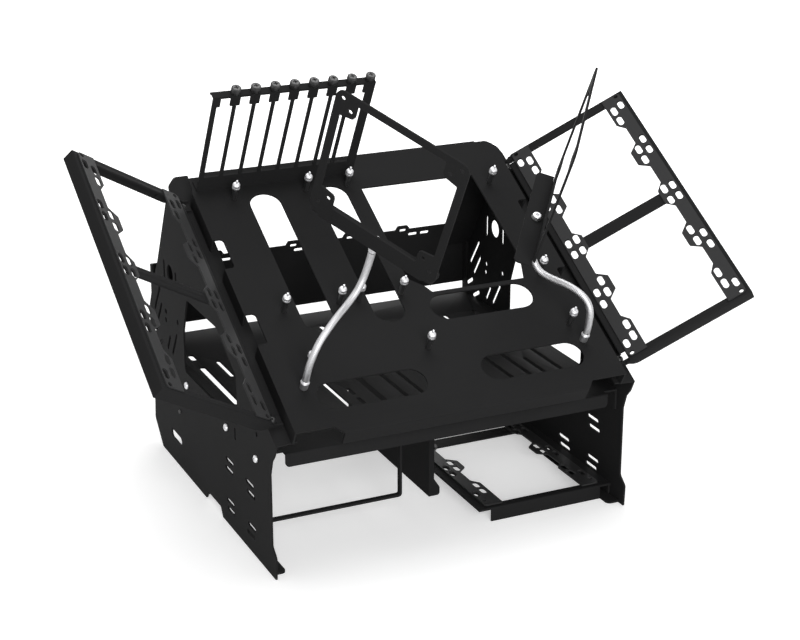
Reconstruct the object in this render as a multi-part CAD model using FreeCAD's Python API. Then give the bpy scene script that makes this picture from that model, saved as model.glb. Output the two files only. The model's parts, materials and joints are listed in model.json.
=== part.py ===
import FreeCAD, Part
import math
import os

os.makedirs("parts", exist_ok=True)

# Open air test bench. Millimetres, +Z up, the bench stands on Z = 0.
# The tray frame has its axes right, up the slope and square to the tray.
# Its origin is on the middle line, level with the front row of standoffs.

SHEET = 2.0
FOLD_R = 1.8
TILT = 30.0
REF_HEIGHT = 208.5
TRAY_TOP = -20.0

# Motherboard tray
TRAY_HALF_W = 176.5
TRAY_FRONT = -81.0
TRAY_EARS_FRONT = -71.6
TRAY_FLANGE = 17.0
TRAY_SLOT_W = 33.0
SLOT_CLEAR = 3.36
FRONT_SLOT_W = 31.6
NOTCH_DEPTH = 10.8
NOTCHES = ((35.3, 75.3), (136.0, 175.3))
TRAY_EAR = TRAY_HALF_W - 46.8

# Board hole pattern, measured from the left front hole of the board
HOLE_X0 = -137.0
HOLES = [(0, 0), (124.46, 0), (281.94, 0), (0, 72.39), (58.3, 72.39),
         (78.74, 72.39), (124.46, 72.39), (281.94, 72.39), (0, 227.33),
         (78.74, 227.33), (124.46, 227.33), (281.94, 204.47)]
POST_D = 5.4
POST_H = 13.6
CAP_D = 9.2
CAP_H = 9.0
STUD_D = 2.8
STUD_H = 3.4

# Screws: shank of the thread's core, and the holes that they pass
SHANK_D = 3.0
SHANK_L = 3.4
SCREW_HOLE = 3.4

# Side panels
SIDE_OUT = TRAY_HALF_W + 15.7
SIDE_IN = SIDE_OUT - SHEET
SIDE_TOP = TRAY_TOP - TRAY_FLANGE
SIDE_LIP = 22.0
SIDE_LIP_END = 262.0
FOOT_W = 12.6
FOOT_R = 5.0
FOOT_HOLE = 5.0
FEET = ((-25.0, 114.0), (171.0, 310.0))
PILLAR_FLANGE = 34.0
PILLAR_R = 10.0
DECK_SCREWS_Y = (10.0, 93.0, 214.0)
DECK_SCREWS_Z = 107.5
LOW_SCREW = (242.0, 67.5)

# Deck, rear wall, centre wall
DECK_TOP = 122.0
DECK_FRONT = -21.5
DECK_REAR = 331.0
DECK_LIP = 14.0
DECK_SIDE_LIP = 22.0
# Slots of the deck: x from the left row of holes, front, rear and width
DECK_SLOTS = ((-36, 111, 223, 6.5), (-36, 244, 262, 6.5),
              (-15, 60, 150, 4.8), (-15, 184, 234, 4.8),
              (10, 60, 150, 4.8), (10, 184, 234, 4.8),
              (63, 55, 150, 4.8), (63, 200, 262, 4.8),
              (79, 57, 77, 4.4), (79, 85, 103, 4.4),
              (100.5, 56, 150, 6.5), (126, 56, 150, 4.8), (126, 262, 288, 6.5),
              (144.5, 56, 150, 4.6), (144.5, 200, 262, 4.6),
              (246, 56, 150, 4.8), (266, 240, 262, 4.8), (267, 56, 150, 4.8),
              (284, 56, 105, 4.6), (304, 56, 150, 4.8), (304, 200, 262, 4.8))
WALL_Y = 334.0
WALL_Z0 = 133.0
WALL_Z1 = 205.4
WALL_END = 12.0
WALL_HOOKS = (111.0, 45.0, -24.0, -115.0)
WALL_SLOTS = (138.5, 123.5, -18.0, -104.0)
LEG_X = 18.3
LEG_Y0 = 69.0
LEG_Y1 = 280.0
LEG_FOOT = 12.5
LEG_NECK = 6.0
LEG_HOLE = (96.0, 52.0)

# Wings that carry the radiator fans
WING_X = SIDE_OUT + 54.4
WING_V = 97.5
WING_N = 14.1
WING_ANGLE = 35.0
WING_IN = -74.2
WING_OUT = 71.0
WING_HALF_L = 150.0
WING_WALL = 14.0
WING_IN_WALL = 10.35
WING_RELIEF = 3.5
WING_BAR = 57.0
WING_TONGUE = -68.0
WING_STEP = 12.0
STRIP_T = 1.6
STRIP_SIDE = 66.8
STRIP_END_GAP = 2.3
SLOT_L = 12.4
SLOT_W = 6.0
BRACKET_SCREW_X = SIDE_OUT - 5.2
BRACKET_FOOT = 13.0

# Slot rows as shares of half a wing's length, outer and inner column
COLUMN_OUT = 62.25
COLUMN_IN = 52.5
ROWS_OUT = (0.88, 0.52, 0.415, 0.051)
ROWS_IN = (0.853, 0.753, 0.452, 0.349, 0.051)
END_HOLE = 5.0
END_HOLE_GAP = 3.3

# Edge of a strip towards the opening: its ends, lobes, middle and necks
STRIP_END = 46.2
STRIP_LOBE = 43.2
STRIP_MIDDLE = 45.5
STRIP_NECK = 53.2

# Card bracket
CARD_GAP = 15.67
CARD_V = HOLES[8][1] + CARD_GAP
CARD_X0 = 5.0 - TRAY_HALF_W
CARD_BARS_X = CARD_X0 + 23.5
CARD_PITCH = 20.32
CARD_BAR_W = 3.6
CARD_TOP = 105.0
CARD_SCREWS = (CARD_X0 + 11.5, CARD_X0 + 85.5, CARD_X0 + 159.5)
CARD_FOOT = 14.0
CARD_SCREW_V = CARD_V + 8.5
KNOB_V = CARD_V + 3.8
KNOB_D = 10.0
KNOB_H = 7.6
TRAY_REAR = CARD_V + 26.0

# Flexible arms and fan frames
ARM_D = 7.0
ARM_BASE_V = -22.5
ARM_BASE_X = TRAY_HALF_W - 26.0
ARM_HOLE = 5.0
FERRULE_D = 8.6
FERRULE_H = 11.0
FAN_SIDE = 140.0
FAN_HOLE_OUT = 62.25
FAN_HOLE_IN = 52.5
FAN_HOLE = 4.6
FAN_ARM = 7.6
FAN_PAD = 23.5
FAN_FOOT = 17.5
FAN_LIP = 18.0
FAN_REACH = 7.0
FAN_LIP_GAP = 3.0
FAN_RISE = 16.7
WASHER_T = 1.4
WASHER_D = 11.2

# Power supply loop and lower fan bracket
LOOP_Y = 26.0
LOOP_X0 = 4.2 - SIDE_OUT
LOOP_X1 = -32.4
LOOP_TAB = 12.0
LOOP_Z0 = 29.2
LOOP_T = 2.6
LOOP_W = 6.0
LOW_X1 = SIDE_IN
LOW_X0 = LOW_X1 - 153.6
LOW_MID_X = LOW_X1 - 77.7
LOW_MID_Y = 156.0
LOW_HALF_L = WING_HALF_L + 16.3
LOW_Y0 = LOW_MID_Y + 0.7 - LOW_HALF_L
LOW_Y1 = LOW_MID_Y + 0.7 + LOW_HALF_L
LOW_Z = 15.0
LOW_RAIL = 12.0
LOW_RIM = 10.0
LOW_CROSS = (-7.0, 11.5)
LOW_HOLE_GAP = 17.0


def V(x, y, z=0.0):
    return FreeCAD.Vector(x, y, z)


def axes(origin, x_dir, y_dir):
    """Placement that maps local x and y onto two square directions."""
    x = FreeCAD.Vector(x_dir).normalize()
    y = FreeCAD.Vector(y_dir).normalize()
    z = x.cross(y)
    m = FreeCAD.Matrix(x.x, y.x, z.x, origin.x, x.y, y.y, z.y, origin.y,
                       x.z, y.z, z.z, origin.z, 0, 0, 0, 1)
    return FreeCAD.Placement(m)


COS = math.cos(math.radians(TILT))
SIN = math.sin(math.radians(TILT))
TRAY = axes(V(0, 0, REF_HEIGHT), V(1, 0, 0), V(0, COS, SIN))


def tray_point(x, v, n):
    return TRAY.multVec(V(x, v, n))


def loop(points):
    """Closed wire through (a, b) points; a third value rounds the corner."""
    count = len(points)
    ends = []
    for i, p in enumerate(points):
        here = V(p[0], p[1])
        before = V(points[i - 1][0], points[i - 1][1])
        after = V(points[(i + 1) % count][0], points[(i + 1) % count][1])
        r = p[2] if len(p) > 2 else 0.0
        if r <= 0:
            ends.append((here, None, here))
            continue
        da = before - here
        db = after - here
        room = min(da.Length, db.Length) / 2.0
        half = da.getAngle(db) / 2.0
        t = min(r / math.tan(half), room)
        r = t * math.tan(half)
        da.normalize()
        db.normalize()
        mid = (da + db).normalize()
        centre = here + mid * (r / math.sin(half))
        ends.append((here + da * t, centre - mid * r, here + db * t))
    edges = []
    for i, (start, mid, stop) in enumerate(ends):
        if mid is not None:
            edges.append(Part.Arc(start, mid, stop).toShape())
        nxt = ends[(i + 1) % count][0]
        if (nxt - stop).Length > 1e-4:
            edges.append(Part.makeLine(stop, nxt))
    return Part.Wire(edges)


def box_loop(a0, a1, b0, b1, r=0.0):
    return loop([(a0, b0, r), (a1, b0, r), (a1, b1, r), (a0, b1, r)])


def ring(a, b, d):
    return Part.Wire([Part.makeCircle(d / 2.0, V(a, b))])


def slot(a, b, length, width, angle=0.0):
    """Obround centred on (a, b) with its length at an angle to the a axis."""
    c = math.cos(math.radians(angle))
    s = math.sin(math.radians(angle))
    out = []
    for i, j in ((-1, -1), (1, -1), (1, 1), (-1, 1)):
        p = i * length / 2.0
        q = j * width / 2.0
        out.append((a + p * c - q * s, b + p * s + q * c, width / 2.0))
    return loop(out)


def ribbon(path, thick, r=0.0):
    """Closed outline of a bent strip: a path and its copy on its left."""
    flat = [V(p[0], p[1]) for p in path]
    left = []
    for i, here in enumerate(flat):
        ways = []
        if i > 0:
            ways.append((here - flat[i - 1]).normalize())
        if i < len(flat) - 1:
            ways.append((flat[i + 1] - here).normalize())
        normals = [V(-w.y, w.x) for w in ways]
        mitre = (normals[0] + normals[-1]).normalize()
        left.append(here + mitre * (thick / mitre.dot(normals[0])))
    sides = []
    for line in (flat, left[::-1]):
        sides += [(p.x, p.y, 0 if p in (line[0], line[-1]) else r) for p in line]
    return loop(sides)


def plate(outline, holes, thick, place, lift=0.0):
    """Flat sheet: an outline with holes, from lift to lift + thick."""
    face = Part.makeFace([outline] + list(holes), "Part::FaceMakerBullseye")
    body = face.extrude(V(0, 0, thick))
    body.translate(V(0, 0, lift))
    body.Placement = place.multiply(body.Placement)
    return body


def join(shapes):
    body = shapes[0]
    for s in shapes[1:]:
        body = body.fuse(s)
    body = body.removeSplitter()
    return body.Solids[0] if len(body.Solids) == 1 else body


def bend(body, places):
    """Rounds the outer edge of each fold that passes one of the places."""
    folds = [e for p in places for e in body.Edges
             if e.distToShape(Part.Vertex(p))[0] < 1e-6]
    return body.makeFillet(FOLD_R, folds)


def mirror(shape):
    return shape.mirror(V(0, 0, 0), V(1, 0, 0))


def side_plane(x):
    """Local a runs to the rear, b up; the thickness grows along +X."""
    return axes(V(x, 0, 0), V(0, 1, 0), V(0, 0, 1))


def turned(profile, place):
    """Body turned round its local z axis from (radius, height) points."""
    pts = [V(r, 0, h) for r, h in profile]
    pts.append(pts[0])
    body = Part.Face(Part.makePolygon(pts)).revolve(V(0, 0, 0), V(0, 0, 1), 360)
    body.Placement = place
    return body


def button(d, h, place):
    """Round headed screw with a hexagon socket; its seat is at z = 0."""
    r = d / 2.0
    shank = SHANK_D / 2.0
    head = turned([(0, -SHANK_L), (shank, -SHANK_L), (shank, 0), (r, 0), (r, h * 0.35),
                   (r * 0.8, h * 0.8), (r * 0.52, h), (0, h)],
                  FreeCAD.Placement())
    hexa = [V(r * 0.34 * math.cos(math.radians(60 * i)),
              r * 0.34 * math.sin(math.radians(60 * i)), h * 0.35)
            for i in range(7)]
    head = head.cut(Part.Face(Part.makePolygon(hexa)).extrude(V(0, 0, h)))
    head.Placement = place
    return head


def tray_frame(x, v, n):
    return axes(tray_point(x, v, n), V(1, 0, 0), V(0, COS, SIN))


def motherboard_tray():
    w = TRAY_HALF_W
    right = [(TRAY_EAR, TRAY_FRONT), (TRAY_EAR + 7.9, TRAY_EARS_FRONT),
             (w, TRAY_EARS_FRONT)]
    for a, b in NOTCHES:
        right += [(w, a), (w - NOTCH_DEPTH, a, 4), (w - NOTCH_DEPTH, b, 4), (w, b)]
    right += [(w, TRAY_REAR - 28), (w - 1.8, TRAY_REAR - 20),
              (w - 2.3, TRAY_REAR - 5.5, 2), (w - 18.9, TRAY_REAR - 5.5),
              (w - 21.9, TRAY_REAR)]
    left = [(-p[0],) + tuple(p[1:]) for p in reversed(right)]
    middle = HOLE_X0 + HOLES[1][0] - SLOT_CLEAR - TRAY_SLOT_W / 2.0
    holes = [slot(-106.2, 135.0, 190.0, TRAY_SLOT_W, 90),
             slot(middle, 133.7, 190.5, TRAY_SLOT_W, 90),
             slot(67.5, 47.4, 113.5, TRAY_SLOT_W, 0),
             slot(91.1 - w, -36.4, 112.5, FRONT_SLOT_W, 0),
             slot(w - 89.5, -36.4, 112.0, FRONT_SLOT_W, 0),
             loop([(2, 90), (16, 77), (21, 68.4), (125, 68.4), (133.4, 96),
                   (131, 220.6, 3), (2, 220.6)])]
    for s in (-1, 1):
        holes.append(ring(s * ARM_BASE_X, ARM_BASE_V, ARM_HOLE))
    for x, v in HOLES:
        holes.append(ring(HOLE_X0 + x, v, SCREW_HOLE))
    for x in CARD_SCREWS:
        holes.append(ring(x, CARD_SCREW_V, SCREW_HOLE))
    parts = [plate(loop(right + left), holes, SHEET, TRAY,
                   TRAY_TOP - SHEET)]
    lip = axes(tray_point(0, TRAY_FRONT, TRAY_TOP), V(1, 0, 0),
               V(0, -SIN, COS))
    parts.append(plate(box_loop(-TRAY_EAR, TRAY_EAR, -TRAY_FLANGE, 0), [],
                       -SHEET, lip))
    starts = [TRAY_EARS_FRONT] + [rear for front, rear in NOTCHES]
    stops = [front for front, rear in NOTCHES] + [TRAY_REAR - 28]
    for a, b in zip(starts, stops):
        flange = plate(box_loop(a, b, -TRAY_FLANGE, 0), [], SHEET,
                       axes(tray_point(w - SHEET, 0, TRAY_TOP),
                            V(0, COS, SIN), V(0, -SIN, COS)))
        parts += [flange, mirror(flange)]
    return bend(join(parts), [tray_point(0, TRAY_FRONT, TRAY_TOP)])


# Sloping rear edge of a side panel, from its widest place up to the tray
PILLAR_EDGE = [(322.0, 185.5), (300.0, 218.5), (287.0, 243.5), (260.0, 295.5)]


def side_outline():
    top_front = tray_point(0, -71.2, SIDE_TOP)
    top_rear = tray_point(0, SIDE_LIP_END, SIDE_TOP)
    return [(-34, 0), (FEET[0][1], 0), (120, 9.5, 3), (159, 9.5, 3), (165, 0),
            (FEET[1][1], 0), (335, 25.5, 6), (333, 45.5, 10), (337, 155.5, 12)] + [
            p + (PILLAR_R,) for p in PILLAR_EDGE] + [
            (top_rear.y, top_rear.z), (top_front.y, top_front.z, 3),
            (-37, 128.5, 3), (-30, 120.5, 3), (-25, 105.5, 6),
            (-25, 31.0, 5), (-35, 22.5, 4)]


def side_holes():
    rail = tray_point(0, 35.4, SIDE_TOP - 24)
    y0, top = 60.7, 205.0
    y_bend = y0 + (top - rail.z) * COS / SIN
    holes = [loop([(y0, DECK_TOP - 0.8, 6), (220, DECK_TOP - 0.8, 6),
                   (220, 165.5, 10), (205, top, 6), (y_bend, top, 10),
                   (y0, rail.z, 6)])]
    for y0, y1, z in ((31.5, 88, 72.5), (28, 90, 62.5), (28.5, 89.5, 27.5),
                      (31.5, 87, 18.3)):
        holes += [slot(y0, z, 22.5, 4.4), slot(y1, z, 22.5, 4.4)]
    holes += [slot(69, 110.0, 13, 4.2, 90), ring(8, 133.5, 5.0),
              slot(259.2, 31, 35, 9.6)]
    holes.append(ring(LOW_SCREW[0], LOW_SCREW[1], SCREW_HOLE))
    holes += [ring(y, DECK_SCREWS_Z, SCREW_HOLE) for y in DECK_SCREWS_Y]
    holes += pillar_cuts()
    return holes


def pillar_cuts():
    """Plain slits and round holes in the rear pillar of each side."""
    cuts = [slot(238.5, 214, 21, 5.2, 90), ring(257.3, 216.8, 20),
            slot(276.5, 215.5, 24, 5.2, 90), ring(238, 169.5, 6),
            ring(277, 169.5, 6), ring(278, 159.5, 6)]
    for a, b in (((295, 191.5), (317, 159.5)), ((291, 174), (308, 148.5)),
                 ((242, 154.5), (260, 126.5)), ((265, 145.5), (276, 127.0)),
                 ((309, 142), (325, 132)), ((292, 131), (310, 120.5))):
        length = math.hypot(b[0] - a[0], b[1] - a[1])
        angle = math.degrees(math.atan2(b[1] - a[1], b[0] - a[0]))
        cuts.append(slot((a[0] + b[0]) / 2.0, (a[1] + b[1]) / 2.0,
                         length, 4.6, angle))
    return cuts


def side_panel():
    parts = [plate(loop(side_outline()), side_holes(), SHEET,
                   side_plane(SIDE_IN))]
    x0 = SIDE_OUT - SIDE_LIP
    end = SIDE_LIP_END
    lip = [(x0, -69), (SIDE_OUT, -71.2), (SIDE_OUT, end),
           (SIDE_OUT - 2, end + 11, 6), (SIDE_OUT - 11, end + 22, 8),
           (x0 - 4, end + 22), (x0 - 4, end + 8)]
    screws = [ring(BRACKET_SCREW_X, v, SCREW_HOLE) for v in bracket_screws_v()]
    parts.append(plate(loop(lip), screws, -SHEET, TRAY, SIDE_TOP))
    for y0, y1 in FEET:
        foot = [(SIDE_IN, y0), (SIDE_IN - FOOT_W, y0, FOOT_R),
                (SIDE_IN - FOOT_W, y1, FOOT_R), (SIDE_IN, y1)]
        hole = ring(SIDE_IN - FOOT_W / 2.0, (y0 + y1) / 2.0, FOOT_HOLE)
        parts.append(plate(loop(foot), [hole], SHEET, FreeCAD.Placement()))
    parts.append(plate(ribbon(PILLAR_EDGE, SHEET, PILLAR_R), [], PILLAR_FLANGE,
                       side_plane(SIDE_OUT - PILLAR_FLANGE)))
    return join(parts)


def deck():
    w = SIDE_IN - 15.7
    ears = DECK_FRONT + 8
    outline = [(-w, DECK_FRONT), (w, DECK_FRONT), (w, ears),
               (SIDE_IN, ears), (SIDE_IN, DECK_REAR),
               (-SIDE_IN, DECK_REAR), (-SIDE_IN, ears), (-w, ears)]
    holes = []
    for x, y0, y1, width in DECK_SLOTS:
        holes.append(slot(HOLE_X0 + x, (y0 + y1) / 2.0, y1 - y0, width, 90))
    top = FreeCAD.Placement(V(0, 0, DECK_TOP - SHEET), FreeCAD.Rotation())
    parts = [plate(loop(outline), holes, SHEET, top)]
    front = axes(V(0, DECK_FRONT, DECK_TOP), V(1, 0, 0), V(0, 0, 1))
    parts.append(plate(loop([(-w, 0), (-w, -DECK_LIP, 4),
                             (w, -DECK_LIP, 4), (w, 0)]), [],
                       -SHEET, front))
    for y0, y1 in ((ears, 57), (74, DECK_REAR)):
        screws = [ring(y, DECK_SCREWS_Z, SCREW_HOLE) for y in DECK_SCREWS_Y
                  if y0 < y < y1]
        lip = plate(box_loop(y0, y1, DECK_TOP - DECK_SIDE_LIP, DECK_TOP), screws, SHEET,
                    side_plane(SIDE_IN - SHEET))
        parts += [lip, mirror(lip)]
    return bend(join(parts), [V(0, DECK_FRONT, DECK_TOP)])


def rear_wall():
    top = [(SIDE_IN, WALL_Z0), (SIDE_IN, WALL_Z1)]
    for x in WALL_HOOKS:
        top += [(x + 9, WALL_Z1), (x + 6, WALL_Z1 + 4.5, 2),
                (x - 6, WALL_Z1 + 4.5, 2), (x - 9, WALL_Z1)]
    top += [(-SIDE_IN, WALL_Z1), (-SIDE_IN, WALL_Z0)]
    holes = [slot(x, WALL_Z1 - 0.8, 8, 2.8) for x in WALL_HOOKS]
    holes += [slot(x, WALL_Z1 - 6.5, 11, 3.2) for x in WALL_SLOTS]
    face = axes(V(0, WALL_Y, 0), V(1, 0, 0), V(0, 0, 1))
    parts = [plate(loop(top), holes, SHEET, face)]
    end = plate(loop([(WALL_Y, WALL_Z0), (WALL_Y, WALL_Z1),
                      (WALL_Y - WALL_END / 2.0, WALL_Z1), (WALL_Y - WALL_END, 180.0),
                      (WALL_Y - WALL_END, WALL_Z0)]), [],
                SHEET, side_plane(SIDE_IN - SHEET))
    parts += [end, mirror(end)]
    return join(parts)


def centre_wall():
    """Upright between the two lower bays; it stands under the deck."""
    under = DECK_TOP - SHEET
    outline = [(LEG_Y0, 0), (LEG_Y1, 0), (LEG_Y1, under), (LEG_Y0, under)]
    body = [plate(loop(outline), [ring(*LEG_HOLE, SCREW_HOLE)], SHEET,
                  side_plane(LEG_X))]
    front = axes(V(0, LEG_Y0, 0), V(1, 0, 0), V(0, 0, 1))
    x = LEG_X
    body.append(plate(loop([(x, 0), (x + LEG_FOOT, 0, 3), (x + LEG_FOOT, 9, 3),
                            (x + LEG_NECK, 19, 3), (x + LEG_NECK, under),
                            (x, under)]), [], -SHEET, front))
    body.append(plate(box_loop(x, x + LEG_FOOT - 3, LEG_Y0, 120), [], SHEET,
                      FreeCAD.Placement()))
    body.append(plate(box_loop(x, x + 14, LEG_Y0, LEG_Y1 - 20), [], -SHEET,
                      FreeCAD.Placement(V(0, 0, under),
                                        FreeCAD.Rotation())))
    return join(body)


def power_supply_loop():
    under = DECK_TOP - SHEET
    t = LOOP_T
    place = axes(V(0, LOOP_Y + LOOP_W, 0), V(1, 0, 0), V(0, 0, 1))
    outline = [(LOOP_X0, under), (LOOP_X0, LOOP_Z0, 4), (LOOP_X1, LOOP_Z0, 4),
               (LOOP_X1, under - t), (LOOP_X1 + LOOP_TAB, under - t),
               (LOOP_X1 + LOOP_TAB, under), (LOOP_X1 - t, under),
               (LOOP_X1 - t, LOOP_Z0 + t, 1.5),
               (LOOP_X0 + t, LOOP_Z0 + t, 1.5), (LOOP_X0 + t, under - t),
               (LOOP_X0 + LOOP_TAB, under - t), (LOOP_X0 + LOOP_TAB, under)]
    return plate(loop(outline), [], LOOP_W, place)


def strip_points(half):
    """Slotted strip, a lobed edge towards the opening, along +t."""
    h = WING_HALF_L
    top = [(STRIP_END, half), (STRIP_END, h * 0.733, 2),
           (STRIP_NECK, h * 0.673, 2), (STRIP_NECK, h * 0.513, 2),
           (STRIP_LOBE, h * 0.457, 2), (STRIP_LOBE, h * 0.34, 2),
           (STRIP_NECK, h * 0.28, 2), (STRIP_NECK, h * 0.113, 2),
           (STRIP_MIDDLE, h * 0.057, 2)]
    low = [(a, -b) + tuple(r) for a, b, *r in reversed(top)]
    return top + low + [(STRIP_SIDE, -half, 4), (STRIP_SIDE, half, 4)]


def tall_slots(s, rows):
    """Slots of one column on both sides of the middle."""
    return [slot(s, e * row * WING_HALF_L, SLOT_L, SLOT_W, 90)
            for row in rows for e in (-1, 1)]


def end_holes(sign, t):
    return [ring(sign * COLUMN_OUT, e * t, END_HOLE) for e in (-1, 1)]


def strip_cuts(sign, hole_t):
    return (tall_slots(sign * COLUMN_OUT, ROWS_OUT)
            + tall_slots(sign * COLUMN_IN, ROWS_IN) + end_holes(sign, hole_t))


def through(loops, thick, place):
    """Body that cuts a set of holes through a sheet below its face."""
    cutters = [plate(one, [], 3 * thick, place, -2 * thick) for one in loops]
    return Part.makeCompound(cutters)


def wing_axes(sign):
    """Frame of the right wing: a outwards, b up the slope, c off its face."""
    c = math.cos(math.radians(WING_ANGLE))
    s = math.sin(math.radians(WING_ANGLE))
    a_dir = TRAY.Rotation.multVec(V(c, 0, s))
    b_dir = TRAY.Rotation.multVec(V(0, 1, 0))
    return axes(tray_point(WING_X, WING_V, WING_N), a_dir, b_dir)


def wing_frame():
    place = wing_axes(1)
    h = WING_HALF_L
    i, o, a0 = WING_IN, WING_OUT, WING_TONGUE
    b = h - WING_STEP
    outline = [(i, -b), (a0, -b), (a0, -h), (o, -h, 2),
               (o, h, 2), (a0, h), (a0, b), (i, b)]
    holes = [box_loop(-WING_BAR, WING_BAR, 6.2, h - 10, 2),
             box_loop(-WING_BAR, WING_BAR, 7 - h, -8, 2)]
    for sign in (-1, 1):
        holes += tall_slots(sign * COLUMN_OUT, ROWS_OUT)
        holes += end_holes(sign, strip_hole(wing_strip_half()))
    sheet = plate(loop(outline), holes, -SHEET, place)
    middle = [one for sign in (-1, 1)
              for one in tall_slots(sign * COLUMN_IN, ROWS_IN[-1:])]
    parts = [sheet.cut(through(middle, SHEET, place))]
    short = b - WING_RELIEF
    for a, end, depth in ((i, short, WING_IN_WALL), (o - SHEET, h, WING_WALL)):
        wall = axes(place.multVec(V(a, 0, 0)),
                    place.Rotation.multVec(V(0, 1, 0)),
                    place.Rotation.multVec(V(0, 0, 1)))
        parts.append(plate(box_loop(-end, end, -depth, 0), [], SHEET, wall))
    for end in (-h, h - SHEET):
        wall = axes(place.multVec(V(0, end, 0)),
                    place.Rotation.multVec(V(0, 0, 1)),
                    place.Rotation.multVec(V(1, 0, 0)))
        parts.append(plate(loop([(0, a0), (0, o), (-WING_WALL, o),
                                 (-WING_WALL, i + 10, 11), (-3, i, 2),
                                 (-3, a0)]), [], SHEET, wall))
    return bend(join(parts), [place.multVec(V(i, 0, 0)), place.multVec(V(o, 0, 0)),
                              place.multVec(V(0, -h, 0)), place.multVec(V(0, h, 0))])


def wing_strip_half():
    return WING_HALF_L - STRIP_END_GAP


def strip_hole(half):
    """Place of the hole at each end of a strip."""
    return half - END_HOLE_GAP


def strip(sign, half, hole_t, place):
    pts = [(sign * a, b) + tuple(r) for a, b, *r in strip_points(half)]
    return plate(loop(pts), strip_cuts(sign, hole_t), STRIP_T, place)


def wing_strip(sign):
    half = wing_strip_half()
    return strip(sign, half, strip_hole(half), wing_axes(1))


def wing_section(s, d):
    """Wing point across the slope as (x, n) in the tray frame."""
    c = math.cos(math.radians(WING_ANGLE))
    k = math.sin(math.radians(WING_ANGLE))
    return (WING_X + s * c - d * k, WING_N + s * k + d * c)


def bracket_screws_v():
    return [WING_V + e * (WING_HALF_L - SHEET - 7.5) for e in (-1, 1)]


def wing_brackets():
    """Two angles that carry a wing on the top lip of the side panel."""
    out = []
    n0 = SIDE_TOP
    x1 = SIDE_OUT - 1.2
    x0 = x1 - BRACKET_FOOT
    for end in (-1, 1):
        v_leg = WING_V + end * (WING_HALF_L - SHEET)
        pts = [(x0, n0), (x1, n0), wing_section(-46, -12),
               wing_section(-46, -SHEET), wing_section(-66, -SHEET),
               (x0 + 6, n0 + 4.5), (x0, n0 + 4.5)]
        leg = plate(loop([(p[0], p[1]) for p in pts]), [], -end * -SHEET,
                    axes(tray_point(0, v_leg, 0), V(1, 0, 0), V(0, -SIN, COS)))
        v_far = v_leg - end * 13
        lo, hi = min(v_leg, v_far), max(v_leg, v_far)
        foot = plate(box_loop(x0, x1, lo, hi),
                     [ring(BRACKET_SCREW_X, v_leg - end * 7.5, SCREW_HOLE)],
                     SHEET, TRAY, n0)
        out.append(join([leg, foot]))
    return out


def bracket_screws():
    return [button(8.4, 3.4, tray_frame(BRACKET_SCREW_X, v, SIDE_TOP + SHEET))
            for v in bracket_screws_v()]


def card_bracket():
    face = axes(tray_point(0, CARD_V, 0), V(1, 0, 0), V(0, -SIN, COS))
    x1 = CARD_BARS_X + 7 * CARD_PITCH + 5.6
    outline = [(CARD_X0, TRAY_TOP), (x1, TRAY_TOP), (x1, CARD_TOP + SHEET),
               (CARD_X0, CARD_TOP + SHEET)]
    holes = []
    for k in range(-1, 7):
        a = CARD_BARS_X + k * CARD_PITCH + CARD_BAR_W / 2.0
        b = CARD_BARS_X + (k + 1) * CARD_PITCH - CARD_BAR_W / 2.0
        if k == -1:
            a = CARD_X0 + 5.0
        if k == 6:
            b = x1 - 9.0
        holes.append(loop([(a, -1), (b, -1), (b, 94), (b - 3.2, 94),
                           (b - 3.2, CARD_TOP - 0.5), (a + 3.2, CARD_TOP - 0.5),
                           (a + 3.2, 94), (a, 94)]))
    parts = [plate(loop(outline), holes, -SHEET, face)]
    parts.append(plate(loop([(CARD_X0, CARD_V), (x1, CARD_V),
                             (x1, CARD_V + 7), (x1 - 1, CARD_V + 8.5),
                             (CARD_X0 - 1, CARD_V + 8.5), (CARD_X0 - 1, CARD_V + 7),
                             (CARD_X0, CARD_V + 6)]),
                       [ring(CARD_BARS_X + k * CARD_PITCH, KNOB_V, SCREW_HOLE)
                        for k in range(8)],
                       SHEET, TRAY, CARD_TOP))
    parts.append(plate(box_loop(CARD_X0, x1, CARD_V, CARD_V + CARD_FOOT),
                       [ring(x, CARD_SCREW_V, SCREW_HOLE) for x in CARD_SCREWS],
                       SHEET, TRAY, TRAY_TOP))
    return join(parts)


def thumb_screws():
    out = []
    r = KNOB_D / 2.0
    for k in range(8):
        seat = tray_frame(CARD_BARS_X + k * CARD_PITCH, KNOB_V,
                          CARD_TOP + SHEET)
        knob = turned([(0, -6), (1.6, -6), (1.6, 0), (r - 0.8, 0),
                       (r, 0.8), (r, KNOB_H - 0.8), (r - 0.8, KNOB_H),
                       (0, KNOB_H)], FreeCAD.Placement())
        cross = Part.makeBox(r, 1.2, 2, V(-r / 2, -0.6, KNOB_H - 1.2))
        cross = cross.fuse(Part.makeBox(1.2, r, 2, V(-0.6, -r / 2,
                                                     KNOB_H - 1.2)))
        knob = knob.cut(cross)
        knob.Placement = seat
        out.append(knob)
    return out


def bracket_foot_screws():
    return [button(6.0, 2.2, tray_frame(x, CARD_SCREW_V, TRAY_TOP + SHEET))
            for x in CARD_SCREWS]


def standoff_posts():
    out = []
    for x, v in HOLES:
        out.append(turned([(0, -6), (SHANK_D / 2, -6), (SHANK_D / 2, 0), (POST_D / 2, 0),
                           (POST_D / 2, POST_H), (0, POST_H)],
                          tray_frame(HOLE_X0 + x, v, TRAY_TOP)))
    return out


def standoff_caps():
    out = []
    r = CAP_D / 2.0
    s = STUD_D / 2.0
    for x, v in HOLES:
        out.append(turned([(0, 0), (r * 0.8, 0), (r, CAP_H * 0.15),
                           (r, CAP_H * 0.45), (r * 0.84, CAP_H * 0.76),
                           (r * 0.5, CAP_H * 0.96), (s, CAP_H),
                           (s, CAP_H + STUD_H - 0.5),
                           (s - 0.5, CAP_H + STUD_H), (0, CAP_H + STUD_H)],
                          tray_frame(HOLE_X0 + x, v, TRAY_TOP + POST_H)))
    return out


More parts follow.
